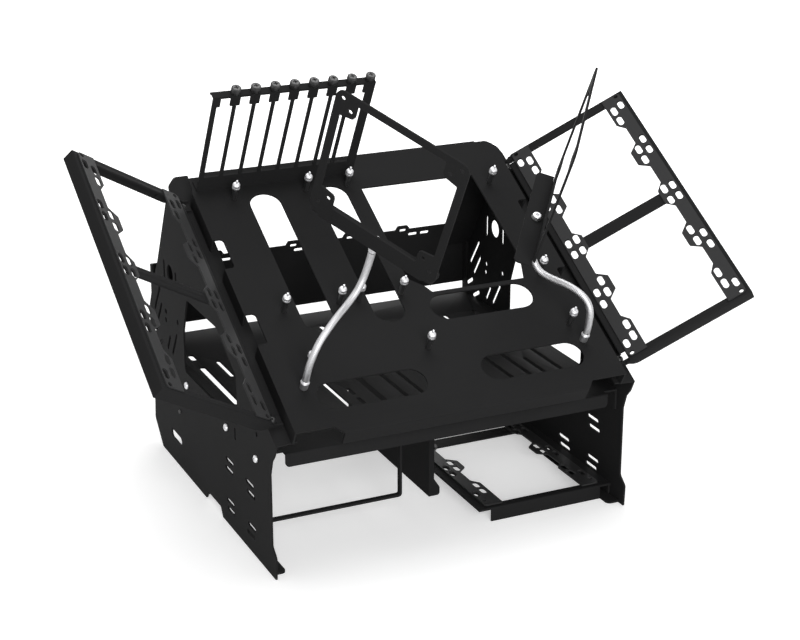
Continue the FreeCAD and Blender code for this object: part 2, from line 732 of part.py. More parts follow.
# Each flexible arm: share of its run over the tray and height, foot to tip
ARM_PATHS = {
    "left": [(0, -9), (0, 16), (0.10, 35.5), (0.25, 42.5), (0.46, 46.5),
             (0.67, 47.2), (0.86, 51.5), (0.95, 60.5), (0.99, 75), (1, 96)],
    "right": [(0, -9), (0.02, 6), (0.055, 18.5), (0.115, 26.4), (0.20, 30),
              (0.325, 30), (0.45, 27.2), (0.55, 23.8), (0.665, 20.8),
              (0.75, 20.8), (0.82, 24), (0.91, 34), (0.975, 48), (1, 63)],
}
# Fan frames: x, v and n of the arm tip, heading of the foot, lip side
FAN_POSES = {
    "left": (-84.3, 32.3, 106.4, -55.5, -1),
    "right": (108.0, 62.9, 73.6, -125.0, 1),
}


def arm_base(name):
    return (-1 if name == "left" else 1) * ARM_BASE_X


def arm_points(name):
    x0, v0 = arm_base(name), ARM_BASE_V
    x1, v1 = FAN_POSES[name][0], FAN_POSES[name][1]
    return [(x0 + f * (x1 - x0), v0 + f * (v1 - v0), n)
            for f, n in ARM_PATHS[name]]


def arc_or_line(a, b, tangent, flat):
    """Arc from a to b that leaves a along the tangent, in one plane."""
    chord = b - a
    side = flat.cross(tangent)
    lean = chord.dot(side)
    if abs(lean) < 1e-4 * chord.Length:
        return Part.makeLine(a, b)
    radius = chord.Length ** 2 / (2.0 * lean)
    centre = a + side * radius
    out = ((a + b) * 0.5 - centre).normalize()
    return Part.Arc(a, centre + out * abs(radius), b).toShape()


def two_arcs(a, ta, b, tb, flat):
    """Pair of arcs that join a to b and keep both end directions."""
    v = b - a
    both = v.dot(ta + tb)
    bend = 2.0 * (1.0 - ta.dot(tb))
    if bend < 1e-6:
        d = v.Length ** 2 / (2.0 * both)
    else:
        d = (math.sqrt(both ** 2 + bend * v.Length ** 2) - both) / bend
    mid = (a + b + (ta - tb) * d) * 0.5
    back = arc_or_line(b, mid, tb * -1.0, flat)
    return [arc_or_line(a, mid, ta, flat), back]


def arm_path(name):
    """Smooth line that leaves the tray square and ends square to it."""
    pts = [tray_point(*p) for p in arm_points(name)]
    up = TRAY.Rotation.multVec(V(0, 0, 1))
    flat = (pts[-1] - pts[0]).cross(up).normalize()
    ways = [up]
    for before, after in zip(pts, pts[2:]):
        ways.append((after - before).normalize())
    ways.append(up)
    edges = []
    for i in range(len(pts) - 1):
        edges += two_arcs(pts[i], ways[i], pts[i + 1], ways[i + 1], flat)
    return Part.Wire(Part.__sortEdges__(edges))


def arm(name):
    start = arm_points(name)[0]
    circle = Part.makeCircle(ARM_D / 2.0, tray_point(*start),
                             TRAY.Rotation.multVec(V(0, 0, 1)))
    return arm_path(name).makePipe(Part.Face(Part.Wire([circle])))


def arm_ferrules(name):
    """Threaded foot with a collar, and the sleeve at the free end."""
    r = FERRULE_D / 2.0
    b = arm_points(name)[0]
    foot = turned([(0, -6), (2.4, -6), (2.4, 0), (r, 0), (r, 8.6),
                   (r - 0.5, 9.2), (r - 0.5, FERRULE_H), (0, FERRULE_H)],
                  tray_frame(b[0], b[1], TRAY_TOP))
    t = arm_points(name)[-1]
    top = FAN_POSES[name][2]
    tip = turned([(0, 0), (r - 0.4, 0), (r, 0.8), (r, top - t[2]),
                  (0, top - t[2])], tray_frame(t[0], t[1], t[2]))
    return [foot, tip]


def arm_nut(name):
    b = arm_points(name)[0]
    place = tray_frame(b[0], b[1], TRAY_TOP - SHEET)
    hexa = loop([(5.0 * math.cos(math.radians(60 * i)),
                  5.0 * math.sin(math.radians(60 * i))) for i in range(6)])
    return plate(hexa, [ring(0, 0, 4.8)], -3.2, place)


def fan_place(name):
    x, v, n, heading, side = FAN_POSES[name]
    c = math.cos(math.radians(heading))
    s = math.sin(math.radians(heading))
    run = TRAY.Rotation.multVec(V(c, s, 0))
    up = TRAY.Rotation.multVec(V(0, 0, 1))
    # The local z axis points away from the side that carries the lip
    return axes(tray_point(x, v, n), run, up), side


def fan_frame(name):
    """Square fan holder; p runs along the foot and q stands up."""
    place, side = fan_place(name)
    h = FAN_SIDE / 2.0
    mid = FAN_RISE + FAN_HOLE_OUT
    q1 = mid + h
    outline = [(-h, 9, 6), (-h + 14, 0), (h - 14, 0), (h, 9, 6),
               (h, q1, 9), (-h, q1, 9)]
    k = h - FAN_PAD
    a = h - FAN_ARM
    inner = []
    for sp, sq in ((1, -1), (1, 1), (-1, 1), (-1, -1)):
        edge_q = q1 - FAN_ARM if sq > 0 else FAN_FOOT
        pad = [(sp * k, edge_q, 1.5), (sp * k, mid + sq * k, 5),
               (sp * a, mid + sq * (k - 3), 1.5)]
        if sp * sq > 0:
            pad.reverse()
        inner += pad
    holes = [loop(inner)]
    for half in (FAN_HOLE_OUT, FAN_HOLE_IN):
        holes += [ring(sp * half, mid + sq * half, FAN_HOLE)
                  for sp in (-1, 1) for sq in (-1, 1)]
    base = place.multiply(FreeCAD.Placement(V(0, 0, -side * FAN_REACH),
                                            FreeCAD.Rotation()))
    parts = [plate(loop(outline), holes, -side * SHEET, base)]
    lip = axes(place.Base, place.Rotation.multVec(V(1, 0, 0)),
               place.Rotation.multVec(V(0, 0, -1)))
    near, far = side * FAN_REACH, side * (FAN_REACH - FAN_LIP)
    half = h - FAN_LIP_GAP
    parts.append(plate(loop([(-half, near), (half, near), (half, far, 5),
                             (-half, far, 5)]), [ring(0, 0, 4.0)], SHEET, lip))
    return join(parts)


def clamp_screw(name):
    x, v, n, heading, side = FAN_POSES[name]
    return button(9.0, 3.2, tray_frame(x, v, n + SHEET + WASHER_T))


def clamp_washer(name):
    x, v, n, heading, side = FAN_POSES[name]
    r = WASHER_D / 2.0
    return turned([(2.0, 0), (r, 0), (r, WASHER_T - 0.4), (r - 0.4, WASHER_T),
                   (2.0, WASHER_T)], tray_frame(x, v, n + SHEET))


def lower_bracket():
    """Level frame low down on the right, with two windows for fans."""
    mid, cross = LOW_MID_X, LOW_MID_Y
    top = FreeCAD.Placement(V(0, 0, LOW_Z), FreeCAD.Rotation())
    x0, x1 = mid - WING_BAR, mid + WING_BAR
    holes = [box_loop(x0, x1, LOW_Y0 + LOW_RIM, cross + LOW_CROSS[0], 2),
             box_loop(x0, x1, cross + LOW_CROSS[1], LOW_Y1 - LOW_RIM, 2)]
    at_slots = FreeCAD.Placement(V(mid, cross, LOW_Z), FreeCAD.Rotation())
    cuts = []
    for sign in (-1, 1):
        cuts += tall_slots(sign * COLUMN_OUT, ROWS_OUT)
        cuts += tall_slots(sign * COLUMN_IN, ROWS_IN[-1:])
        cuts += end_holes(sign, low_hole())
    sheet = plate(box_loop(LOW_X0, LOW_X1, LOW_Y0, LOW_Y1), holes, -SHEET, top)
    parts = [sheet.cut(through(cuts, SHEET, at_slots))]
    for y, t in ((LOW_Y0, -SHEET), (LOW_Y1, SHEET)):
        wall = axes(V(0, y, 0), V(1, 0, 0), V(0, 0, 1))
        parts.append(plate(box_loop(LOW_X0 + 14, LOW_X1 - 12.8, 0, LOW_Z), [],
                           t, wall))
    parts.append(plate(box_loop(LOW_Y0 + 2, LOW_Y1 - 2, LOW_Z - LOW_RAIL, LOW_Z),
                       [], SHEET, side_plane(LOW_X1 - SHEET)))
    return bend(join(parts), [V(mid, LOW_Y0, LOW_Z), V(mid, LOW_Y1, LOW_Z)])


def low_hole():
    return LOW_HALF_L - LOW_HOLE_GAP


def lower_strip(sign):
    place = FreeCAD.Placement(V(LOW_MID_X, LOW_MID_Y, LOW_Z), FreeCAD.Rotation())
    return strip(sign, LOW_HALF_L - 6.3, low_hole(), place)


def side_screws(sign):
    """Silver screws that fix the deck between the side panels."""
    places = [(y, DECK_SCREWS_Z, 10.4, 3.0) for y in DECK_SCREWS_Y]
    places.append(LOW_SCREW + (6.0, 2.0))
    return [button(d, h, axes(V(sign * SIDE_OUT, y, z), V(0, sign, 0), V(0, 0, 1)))
            for y, z, d, h in places]


PARTS = {}
PARTS["motherboard_tray"] = [motherboard_tray()]
PARTS["side_panel_right"] = [side_panel()]
PARTS["side_panel_left"] = [mirror(PARTS["side_panel_right"][0])]
PARTS["deck"] = [deck()]
PARTS["rear_wall"] = [rear_wall()]
PARTS["centre_wall"] = [centre_wall()]
PARTS["power_supply_loop"] = [power_supply_loop()]
PARTS["wing_frame_right"] = [wing_frame()]
PARTS["wing_frame_left"] = [mirror(PARTS["wing_frame_right"][0])]
PARTS["wing_strips_right"] = [wing_strip(1), wing_strip(-1)]
PARTS["wing_strips_left"] = [mirror(s) for s in PARTS["wing_strips_right"]]
PARTS["wing_brackets_right"] = wing_brackets()
PARTS["wing_brackets_left"] = [mirror(s) for s in
                               PARTS["wing_brackets_right"]]
small = bracket_screws()
PARTS["bracket_screws"] = small + [mirror(s) for s in small]
PARTS["card_bracket"] = [card_bracket()]
PARTS["thumb_screws"] = thumb_screws()
PARTS["card_bracket_screws"] = bracket_foot_screws()
PARTS["standoff_posts"] = standoff_posts()
PARTS["standoff_caps"] = standoff_caps()
for name in ("left", "right"):
    PARTS["arm_" + name] = [arm(name)]
    PARTS["arm_ferrules_" + name] = arm_ferrules(name)
    PARTS["fan_frame_" + name] = [fan_frame(name)]
PARTS["arm_nuts"] = [arm_nut("left"), arm_nut("right")]
PARTS["clamp_washers"] = [clamp_washer("left"), clamp_washer("right")]
PARTS["clamp_screws"] = [clamp_screw("left"), clamp_screw("right")]
PARTS["lower_bracket"] = [lower_bracket()]
PARTS["lower_strips"] = [lower_strip(-1), lower_strip(1)]
PARTS["side_screws"] = side_screws(-1) + side_screws(1)


def y_range():
    ys = [p.Point.y for group in PARTS.values() for s in group
          for p in s.Vertexes]
    return min(ys), max(ys)


front, rear = y_range()
shift = V(0, -(front + rear) / 2.0, 0)
for name, group in PARTS.items():
    solids = []
    for s in group:
        for body in s.Solids:
            body.translate(shift)
            solids.append(body)
    shape = solids[0] if len(solids) == 1 else Part.makeCompound(solids)
    shape.exportStep("parts/" + name + ".step")
print("y shift", round(shift.y, 4), "nodes", len(PARTS))
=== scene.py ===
import json
import math

import bmesh
import bpy
from mathutils import Matrix, Vector
from mathutils.geometry import interpolate_bezier

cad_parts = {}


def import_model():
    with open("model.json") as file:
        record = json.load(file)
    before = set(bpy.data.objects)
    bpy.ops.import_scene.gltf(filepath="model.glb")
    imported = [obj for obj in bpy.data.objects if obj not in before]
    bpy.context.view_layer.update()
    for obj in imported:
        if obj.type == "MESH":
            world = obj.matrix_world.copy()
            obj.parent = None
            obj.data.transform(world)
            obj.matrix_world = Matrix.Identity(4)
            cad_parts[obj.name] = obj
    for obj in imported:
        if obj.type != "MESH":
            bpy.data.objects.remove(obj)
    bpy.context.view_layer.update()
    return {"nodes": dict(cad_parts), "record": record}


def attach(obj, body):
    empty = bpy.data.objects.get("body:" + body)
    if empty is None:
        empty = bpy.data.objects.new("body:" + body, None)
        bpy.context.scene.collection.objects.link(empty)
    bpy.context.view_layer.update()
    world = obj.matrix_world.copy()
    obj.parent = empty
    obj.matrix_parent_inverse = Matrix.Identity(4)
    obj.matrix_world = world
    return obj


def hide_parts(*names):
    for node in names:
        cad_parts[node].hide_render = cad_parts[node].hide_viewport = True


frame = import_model()


MM = 0.001

# Directions of the sloping tray
TILT = math.radians(30.0)
UP = Vector((0.0, 0.0, 1.0))
SLOPE = Vector((0.0, math.cos(TILT), math.sin(TILT)))
TRAY_UP = Vector((0.0, -math.sin(TILT), math.cos(TILT)))

# Mount of the first board stud over the origin of the tray's frame
STUD_HEIGHT = 4.65 * MM
STUD_X = -137.0 * MM

# Flexible arms: share of the run over the tray and height over the
# standoff plane, foot to tip, in millimetres
ARM_FOOT = (150.5, -22.5)
ARM_TIPS = {"left": (-84.3, 32.3), "right": (108.0, 62.9)}
ARM_ROUTES = {
    "left": [(0, -9), (0, 16), (0.10, 35.5), (0.25, 42.5), (0.46, 46.5),
             (0.67, 47.2), (0.86, 51.5), (0.95, 60.5), (0.99, 75), (1, 96)],
    "right": [(0, -9), (0.02, 6), (0.055, 18.5), (0.115, 26.4), (0.20, 30),
              (0.325, 30), (0.45, 27.2), (0.55, 23.8), (0.665, 20.8),
              (0.75, 20.8), (0.82, 24), (0.91, 34), (0.975, 48), (1, 63)],
}
HOSE_CREST = 3.55 * MM
HOSE_VALLEY = 3.05 * MM
HOSE_PITCH = 1.7 * MM
HOSE_SIDES = 20
HOSE_STEPS = 4
CURVE_STEPS = 40

# Sheets: width of the broken edges, and the angles that tell a flat
# joint, a bend and a cut edge apart
EDGE_SOFT = 0.28 * MM
FLAT = math.radians(0.5)
GENTLE = math.radians(2.0)
CREASE = math.radians(35.0)

# Screws: the shank's radius and length below the head, and the angle
# past which the corner of a turned part stays crisp
SCREW_SHANK = 1.5 * MM
SHANK_LENGTH = 3.2 * MM
STEM_LENGTH = 6 * MM
CRISP = 40.0

# Side panels' screws: share of the solid's radius and height, and the
# height over the floor below which a screw is the dark one
SIDE_HEAD = 0.74
SIDE_HEAD_HEIGHT = 0.9
SIDE_SCREW_LOW = 0.10

# Thumb screws
KNOB_SHANK = 1.6 * MM
KNOB_CHAMFER = 0.8 * MM
KNOB_SLOT_HALF = 0.6 * MM
KNOB_SLOT_DEPTH = 1.3 * MM
KNURLS = 30
KNURL_DEPTH = 0.075

# Caps on the standoffs: lift of the foot and share of the solid's radius
CAP_LIFT = 1.6 * MM
CAP_WIDTH = 0.88
CAP_STUD = 1.1 * MM

# Ferrules of the arms: threaded stem under the tray, groove below the
# collar, and the collar's width
FERRULE_STEM = 2.4 * MM
FERRULE_GROOVE = 0.35 * MM
COLLAR = 1.6 * MM

# Middle of the bench, for the lamps, and the photograph's camera
BENCH_MIDDLE = Vector((0.0, 0.0, 0.15))
EYE = Vector((-0.7229, -1.5481, 0.8095))
LOOK = Vector((0.39626, 0.85260, -0.34066))
LENS = 80.73
SENSOR = 36.0

WHITE = (1, 1, 1, 1)


class Wire:
    """Output socket of a shader node; maths on it adds Math nodes."""

    def __init__(self, finish, port):
        self.finish = finish
        self.port = port

    def maths(self, operation, a, b):
        return self.finish.add("ShaderNodeMath", {"operation": operation},
                               {0: a, 1: b})

    def __add__(self, other):
        return self.maths("ADD", self, other)

    def __sub__(self, other):
        return self.maths("SUBTRACT", self, other)

    def __mul__(self, other):
        return self.maths("MULTIPLY", self, other)

    def __rsub__(self, other):
        return self.maths("SUBTRACT", other, self)

    __radd__ = __add__
    __rmul__ = __mul__

    def or_else(self, other):
        return self.maths("MAXIMUM", self, other)


class Finish:
    """The nodes of a material or a world, all added in one way."""

    def __init__(self, owner):
        owner.use_nodes = True
        self.owner = owner
        self.tree = owner.node_tree
        self.tree.nodes.clear()

    def add(self, kind, settings, sockets, out=0):
        node = self.tree.nodes.new(kind)
        for key, value in settings.items():
            setattr(node, key, value)
        for key, value in sockets.items():
            if isinstance(value, Wire):
                self.tree.links.new(value.port, node.inputs[key])
            else:
                node.inputs[key].default_value = value
        return Wire(self, node.outputs[out]) if node.outputs else None

    def place(self):
        return self.add("ShaderNodeTexCoord", {}, {}, out="Object")

    def noise(self, where, scale, detail):
        return self.add("ShaderNodeTexNoise", {},
                        {"Vector": where, "Scale": scale, "Detail": detail})

    def blend(self, factor, a, b):
        return self.add("ShaderNodeMix", {"data_type": "RGBA"},
                        {0: factor, 6: a, 7: b}, out=2)

    def bump(self, height, strength, depth):
        return self.add("ShaderNodeBump", {},
                        {"Height": height, "Strength": strength,
                         "Distance": depth})

    def in_view(self):
        """One for rays of the camera, of gloss and through glass."""
        rays = [self.add("ShaderNodeLightPath", {}, {}, out=ray)
                for ray in ("Is Camera Ray", "Is Glossy Ray",
                            "Is Transmission Ray")]
        return rays[0].or_else(rays[1]).or_else(rays[2])

    def surface(self, sockets):
        shader = self.add("ShaderNodeBsdfPrincipled", {}, sockets)
        self.add("ShaderNodeOutputMaterial", {}, {"Surface": shader})
        return self.owner


def grey(level):
    """Near neutral colour with the faint blue of the real finishes."""
    return (level, level, level * 1.02, 1.0)


def powder_coat(name, level, roughness, shine):
    """Fine matt coat: a tight orange peel, and a faint broad unevenness."""
    f = Finish(bpy.data.materials.new(name))
    at = f.place()
    grain = f.noise(at, 1900.0, 2.0)
    peel = f.noise(at, 520.0, 1.0)
    broad = f.noise(at, 14.0, 3.0)
    colour = f.blend(broad * 0.6 + grain * 0.4, grey(level * 0.8),
                     grey(level * 1.2))
    rough = (broad - 0.5) * 0.10 + (grain - 0.5) * 0.12 + roughness
    height = grain * 0.6 + peel * 0.4
    return f.surface({"Base Color": colour, "Roughness": rough,
                      "Normal": f.bump(height, 0.35, 0.00012),
                      "Specular IOR Level": shine})


def black_oxide():
    """Blackened steel of the thumb screws and small fasteners."""
    f = Finish(bpy.data.materials.new("black_oxide"))
    at = f.place()
    cloud = f.noise(at, 160.0, 3.0)
    fine = f.noise(at, 2600.0, 1.0)
    return f.surface({"Base Color": f.blend(cloud, grey(0.010), grey(0.022)),
                      "Roughness": (cloud - 0.5) * 0.2 + 0.40,
                      "Normal": f.bump(fine, 0.2, 0.00005),
                      "Specular IOR Level": 0.6})


def plated(name, dark, light, roughness):
    """Plated steel with faint turning marks and dull patches."""
    f = Finish(bpy.data.materials.new(name))
    at = f.place()
    cloud = f.noise(at, 240.0, 3.0)
    fine = f.noise(at, 3200.0, 2.0)
    return f.surface({"Base Color": f.blend(cloud, grey(dark), grey(light)),
                      "Roughness": (cloud - 0.5) * 0.18 + roughness,
                      "Normal": f.bump(fine, 0.15, 0.00004),
                      "Metallic": 1.0})


def hose_steel():
    """Bright wound strip of the flexible arms."""
    f = Finish(bpy.data.materials.new("hose_steel"))
    at = f.place()
    cloud = f.noise(at, 90.0, 3.0)
    fine = f.noise(at, 1800.0, 2.0)
    return f.surface({"Base Color": f.blend(cloud, grey(0.48), grey(0.59)),
                      "Roughness": (fine - 0.5) * 0.10 + 0.40,
                      "Normal": f.bump(fine, 0.12, 0.00004),
                      "Metallic": 1.0})


COAT = powder_coat("black_powder_coat", 0.0158, 0.70, 0.035)
STRIP_COAT = powder_coat("satin_strip_coat", 0.028, 0.52, 0.10)
OXIDE = black_oxide()
ZINC = plated("bright_zinc", 0.64, 0.80, 0.46)
SATIN = plated("satin_nickel", 0.34, 0.46, 0.50)
STEEL = hose_steel()


def finished(name, bm, material, node):
    """Makes a piece that rides on the bench and stands for a CAD node."""
    mesh = bpy.data.meshes.new(name)
    bm.to_mesh(mesh)
    bm.free()
    for one in material if isinstance(material, list) else [material]:
        mesh.materials.append(one)
    piece = bpy.data.objects.new(name, mesh)
    bpy.context.scene.collection.objects.link(piece)
    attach(piece, "root")
    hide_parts(node)


def merged(node):
    """Copy of a CAD node's mesh, with its loose triangles joined."""
    bm = bmesh.new()
    bm.from_mesh(frame["nodes"][node].data)
    bmesh.ops.remove_doubles(bm, verts=bm.verts, dist=0.002 * MM)
    return bm


def softened(node, material):
    """Folded sheet with its cut edges slightly broken."""
    bm = merged(node)
    bmesh.ops.dissolve_limit(bm, angle_limit=FLAT, verts=bm.verts,
                             edges=bm.edges)
    for face in bm.faces:
        bends = [e.calc_face_angle(0.0) for e in face.edges]
        face.smooth = any(GENTLE < b < CREASE for b in bends)
    sharp = [e for e in bm.edges if e.calc_face_angle(0.0) > CREASE]
    made = bmesh.ops.bevel(bm, geom=sharp, offset=EDGE_SOFT,
                           offset_type="OFFSET", affect="EDGES", segments=2,
                           profile=0.5, clamp_overlap=True, material=-1)
    for face in made["faces"]:
        face.smooth = True
    finished(node + "_sheet", bm, material, node)


def islands(node):
    """Points of each separate solid of a node, the solids by place."""
    bm = merged(node)
    left = set(bm.verts)
    groups = []
    while left:
        todo = [left.pop()]
        group = []
        while todo:
            v = todo.pop()
            group.append(v.co.copy())
            for e in v.link_edges:
                other = e.other_vert(v)
                if other in left:
                    left.remove(other)
                    todo.append(other)
        groups.append(group)
    bm.free()
    return sorted(groups, key=lambda g: tuple(round(c, 5) for c in min(
        g, key=lambda p: (round(p.x, 5), round(p.y, 5), p.z))))


def seat_of(points, up):
    """Matrix whose origin is on the axis at height zero, z along up."""
    up = up.normalized()
    side = up.cross(SLOPE if abs(up.dot(SLOPE)) < 0.9 else UP).normalized()
    fore = up.cross(side)
    mid = Vector()
    for way in (side, fore):
        reach = [p.dot(way) for p in points]
        mid += way * (min(reach) + max(reach)) / 2.0
    turn = Matrix((side, fore, up)).transposed().to_4x4()
    return Matrix.Translation(mid) @ turn


def off_axis(p):
    """Distance of a seated point from its part's axis."""
    return math.hypot(p.x, p.y)


def seated(points, seat):
    """The points in the frame of their seat, z along the part's axis."""
    return [seat.inverted() @ p for p in points]


def extent(points, seat):
    """Radius, lowest and highest height of a turned part."""
    own = seated(points, seat)
    heights = [p.z for p in own]
    return max(off_axis(p) for p in own), min(heights), max(heights)


def head_of(points, seat, shank):
    """Radius, underside and top of the head on a shank of given radius."""
    radius, _, top = extent(points, seat)
    head = [p.z for p in seated(points, seat) if off_axis(p) > shank * 1.15]
    return radius, min(head), top


def lathe(profile, steps):
    """Open or closed shell turned round z from (radius, height) points."""
    bm = bmesh.new()
    verts = [bm.verts.new((r, 0.0, h)) for r, h in profile]
    edges = [bm.edges.new(pair) for pair in zip(verts, verts[1:])]
    bmesh.ops.spin(bm, geom=verts + edges, cent=(0, 0, 0), axis=(0, 0, 1),
                   angle=math.tau, steps=steps, use_merge=True)
    bmesh.ops.remove_doubles(bm, verts=bm.verts, dist=0.001 * MM)
    bmesh.ops.recalc_face_normals(bm, faces=bm.faces)
    for face in bm.faces:
        face.smooth = True
    return bm


def recess(bm, outline, height, depth):
    """Closes the open rim at a height and sinks the outline into it."""
    rim = [e for e in bm.edges if e.is_boundary
           and all(abs(v.co.z - height) < 0.01 * MM for v in e.verts)]
    verts = [bm.verts.new((x, y, height)) for x, y in outline]
    mouth = [bm.edges.new((verts[i - 1], verts[i]))
             for i in range(len(verts))]
    bmesh.ops.triangle_fill(bm, use_beauty=True, use_dissolve=False,
                            edges=rim + mouth, normal=(0, 0, 1))
    down = bmesh.ops.extrude_edge_only(bm, edges=mouth)["geom"]
    low = [g for g in down if isinstance(g, bmesh.types.BMVert)]
    bmesh.ops.translate(bm, verts=low, vec=(0, 0, -depth))
    floor_edges = [g for g in down if isinstance(g, bmesh.types.BMEdge)
                   and all(v in low for v in g.verts)]
    bmesh.ops.edgeloop_fill(bm, edges=floor_edges)
    bmesh.ops.recalc_face_normals(bm, faces=bm.faces)


def hexagon(radius):
    """Outline of a hexagon socket, by the reach of its corners."""
    return [(radius * math.cos(math.radians(60 * i)),
             radius * math.sin(math.radians(60 * i))) for i in range(6)]


def cross(arm, half):
    """Outline of a cross slot, by its arms' reach and half their width."""
    quarter = [(arm, -half), (arm, half), (half, half)]
    turns = [Matrix.Rotation(math.radians(90 * i), 2) for i in range(4)]
    return [tuple(t @ Vector(p)) for t in turns for p in quarter]


def sharpened(bm, limit=CRISP):
    """Keeps the corners of a turned part crisp and its curves smooth."""
    for edge in bm.edges:
        if edge.calc_face_angle(0.0) > math.radians(limit):
            edge.smooth = False


def socket_head(radius, height, bore, crown):
    """Screw with a hexagon socket, seated at z = 0; a low crown is flat."""
    dome = [(0.0, -SHANK_LENGTH), (SCREW_SHANK, -SHANK_LENGTH),
            (SCREW_SHANK, 0.0), (radius * 0.96, 0), (radius, height * 0.10),
            (radius * 0.985, height * 0.30)]
    for i in range(1, 7):
        a = math.radians(15 + 11 * i)
        dome.append((radius * math.cos(a) ** crown * 1.02,
                     height * (0.30 + 0.70 * math.sin(a) ** crown)))
    rim = radius * (bore + 0.14)
    dome = [p for p in dome if p[0] > rim or p[1] <= 0] + [(rim, height)]
    bm = lathe(dome, 28)
    recess(bm, hexagon(radius * bore), height, height * 0.62)
    sharpened(bm)
    return bm


def stamped(bm_out, bm_part, seat):
    """Adds a copy of a small part at a seat, and frees the part."""
    mesh = bpy.data.meshes.new("stamp")
    bm_part.transform(seat)
    bm_part.to_mesh(mesh)
    bm_part.free()
    bm_out.from_mesh(mesh)
    bpy.data.meshes.remove(mesh)


def gathered(node, part_on, direction=None):
    """One mesh with a part on each solid of a node, square to the tray
    where no direction is given."""
    whole = bmesh.new()
    for points in islands(node):
        seat = seat_of(points, direction(points) if direction else TRAY_UP)
        part, height = part_on(points, seat)
        stamped(whole, part, seat @ Matrix.Translation((0, 0, height)))
    return whole


def screws(node, material, bore=0.36, crown=1.0):
    """Socket heads over the screws that stand square to the tray."""
    def head(points, seat):
        radius, low, high = head_of(points, seat, SCREW_SHANK)
        return socket_head(radius, high - low, bore, crown), low
    finished(node + "_heads", gathered(node, head), material, node)


def middle(points):
    return sum(points, Vector()) / len(points)


def outward(points):
    return Vector((1.0 if middle(points).x > 0 else -1.0, 0.0, 0.0))


def side_screws():
    """Slim bright heads on the side panels, and a dark one low down."""
    def head(points, seat):
        radius, low, high = head_of(points, seat, SCREW_SHANK)
        part = socket_head(radius * SIDE_HEAD,
                           (high - low) * SIDE_HEAD_HEIGHT, 0.46, 0.8)
        if middle(points).z < SIDE_SCREW_LOW:
            for face in part.faces:
                face.material_index = 1
        return part, low
    finished("side_screws_heads", gathered("side_screws", head, outward),
             [ZINC, OXIDE], "side_screws")


def knob(radius, height):
    """Thumb screw: knurled side, broken edges, cross slot in the top."""
    side = radius - KNOB_CHAMFER
    profile = [(0.0, -STEM_LENGTH), (KNOB_SHANK, -STEM_LENGTH),
               (KNOB_SHANK, 0.0), (side, 0.0), (radius, KNOB_CHAMFER),
               (radius, height - KNOB_CHAMFER), (side, height),
               (radius * 0.62, height)]
    bm = lathe(profile, KNURLS * 4)
    for v in bm.verts:
        if off_axis(v.co) > radius * 0.8:
            turn = math.atan2(v.co.y, v.co.x) * KNURLS
            cut = 0.5 - 0.5 * math.cos(turn)
            v.co.x *= 1 - KNURL_DEPTH * cut
            v.co.y *= 1 - KNURL_DEPTH * cut
    recess(bm, cross(radius * 0.5, KNOB_SLOT_HALF), height, KNOB_SLOT_DEPTH)
    sharpened(bm)
    return bm


def thumb_screws():
    """Knurled knobs along the top of the card bracket."""
    def head(points, seat):
        radius, low, high = head_of(points, seat, KNOB_SHANK)
        return knob(radius, high - low), low
    finished("knurled_knobs", gathered("thumb_screws", head), OXIDE,
             "thumb_screws")


def standoffs():
    """Slim black posts, each under a bright cap with a snap tip."""
    def post(points, seat):
        r, low, high = head_of(points, seat, SCREW_SHANK)
        high += CAP_LIFT
        part = lathe([(0, low - STEM_LENGTH),
                      (SCREW_SHANK, low - STEM_LENGTH), (SCREW_SHANK, low),
                      (r - 0.3 * MM, low), (r, low + 0.3 * MM), (r, high),
                      (0, high)], 24)
        sharpened(part, 30)
        return part, 0

    def cap(points, seat):
        r, low, high = extent(points, seat)
        return snap_cap(r * CAP_WIDTH, low + CAP_LIFT, high), 0

    finished("board_posts", gathered("standoff_posts", post), OXIDE,
             "standoff_posts")
    finished("board_caps", gathered("standoff_caps", cap), ZINC,
             "standoff_caps")


def snap_cap(r, low, high):
    """Turned cap: rolled foot, groove, round dome, and a slim stud."""
    h = high - low
    profile = [(0, 0), (r * 0.84, 0), (r * 0.96, h * 0.03), (r, h * 0.09),
               (r, h * 0.20), (r * 0.94, h * 0.215), (r * 0.94, h * 0.235),
               (r, h * 0.25), (r, h * 0.34)]
    steep = math.radians(72)
    for i in range(1, 10):
        a = steep * i / 9
        rise = (math.sin(a) / math.sin(steep)) ** 0.85
        profile.append((r * math.cos(a) ** 0.75, h * (0.34 + 0.30 * rise)))
    profile += [(CAP_STUD, h * 0.65), (CAP_STUD, h - 0.4 * MM),
                (CAP_STUD - 0.4 * MM, h), (0, h)]
    part = lathe([(a, b + low) for a, b in profile], 28)
    sharpened(part, 50)
    return part


def ferrule(points, seat):
    """Threaded foot with a collar, or the ringed sleeve at the tip."""
    r, low, high = extent(points, seat)
    foot = any(abs(off_axis(p) - FERRULE_STEM) < 0.1 * MM
               for p in seated(points, seat))
    base = low + STEM_LENGTH if foot else low
    neck = r - FERRULE_GROOVE
    ring = base + (high - base) * (0.68 if foot else 0.2)
    profile = [(0, low)]
    if foot:
        profile += [(FERRULE_STEM, low), (FERRULE_STEM, base)]
    profile += [(neck - 0.4 * MM, base), (neck, base + 0.4 * MM),
                (neck, ring), (r - 0.2 * MM, ring), (r, ring + 0.2 * MM)]
    if foot:
        profile += [(r, ring + COLLAR), (neck, ring + COLLAR + 0.3 * MM)]
    profile += [(neck if foot else r, high - 0.9 * MM),
                (r - 0.9 * MM, high - 0.1 * MM), (r - 1.2 * MM, high),
                (0, high)]
    part = lathe(profile, 28)
    sharpened(part)
    if foot:
        for face in part.faces:
            if face.calc_center_median().z < ring - 0.05 * MM:
                face.material_index = 1
    return part, 0


def ferrules(name):
    node = "arm_ferrules_" + name
    finished("ferrules_" + name, gathered(node, ferrule), [ZINC, SATIN],
             node)


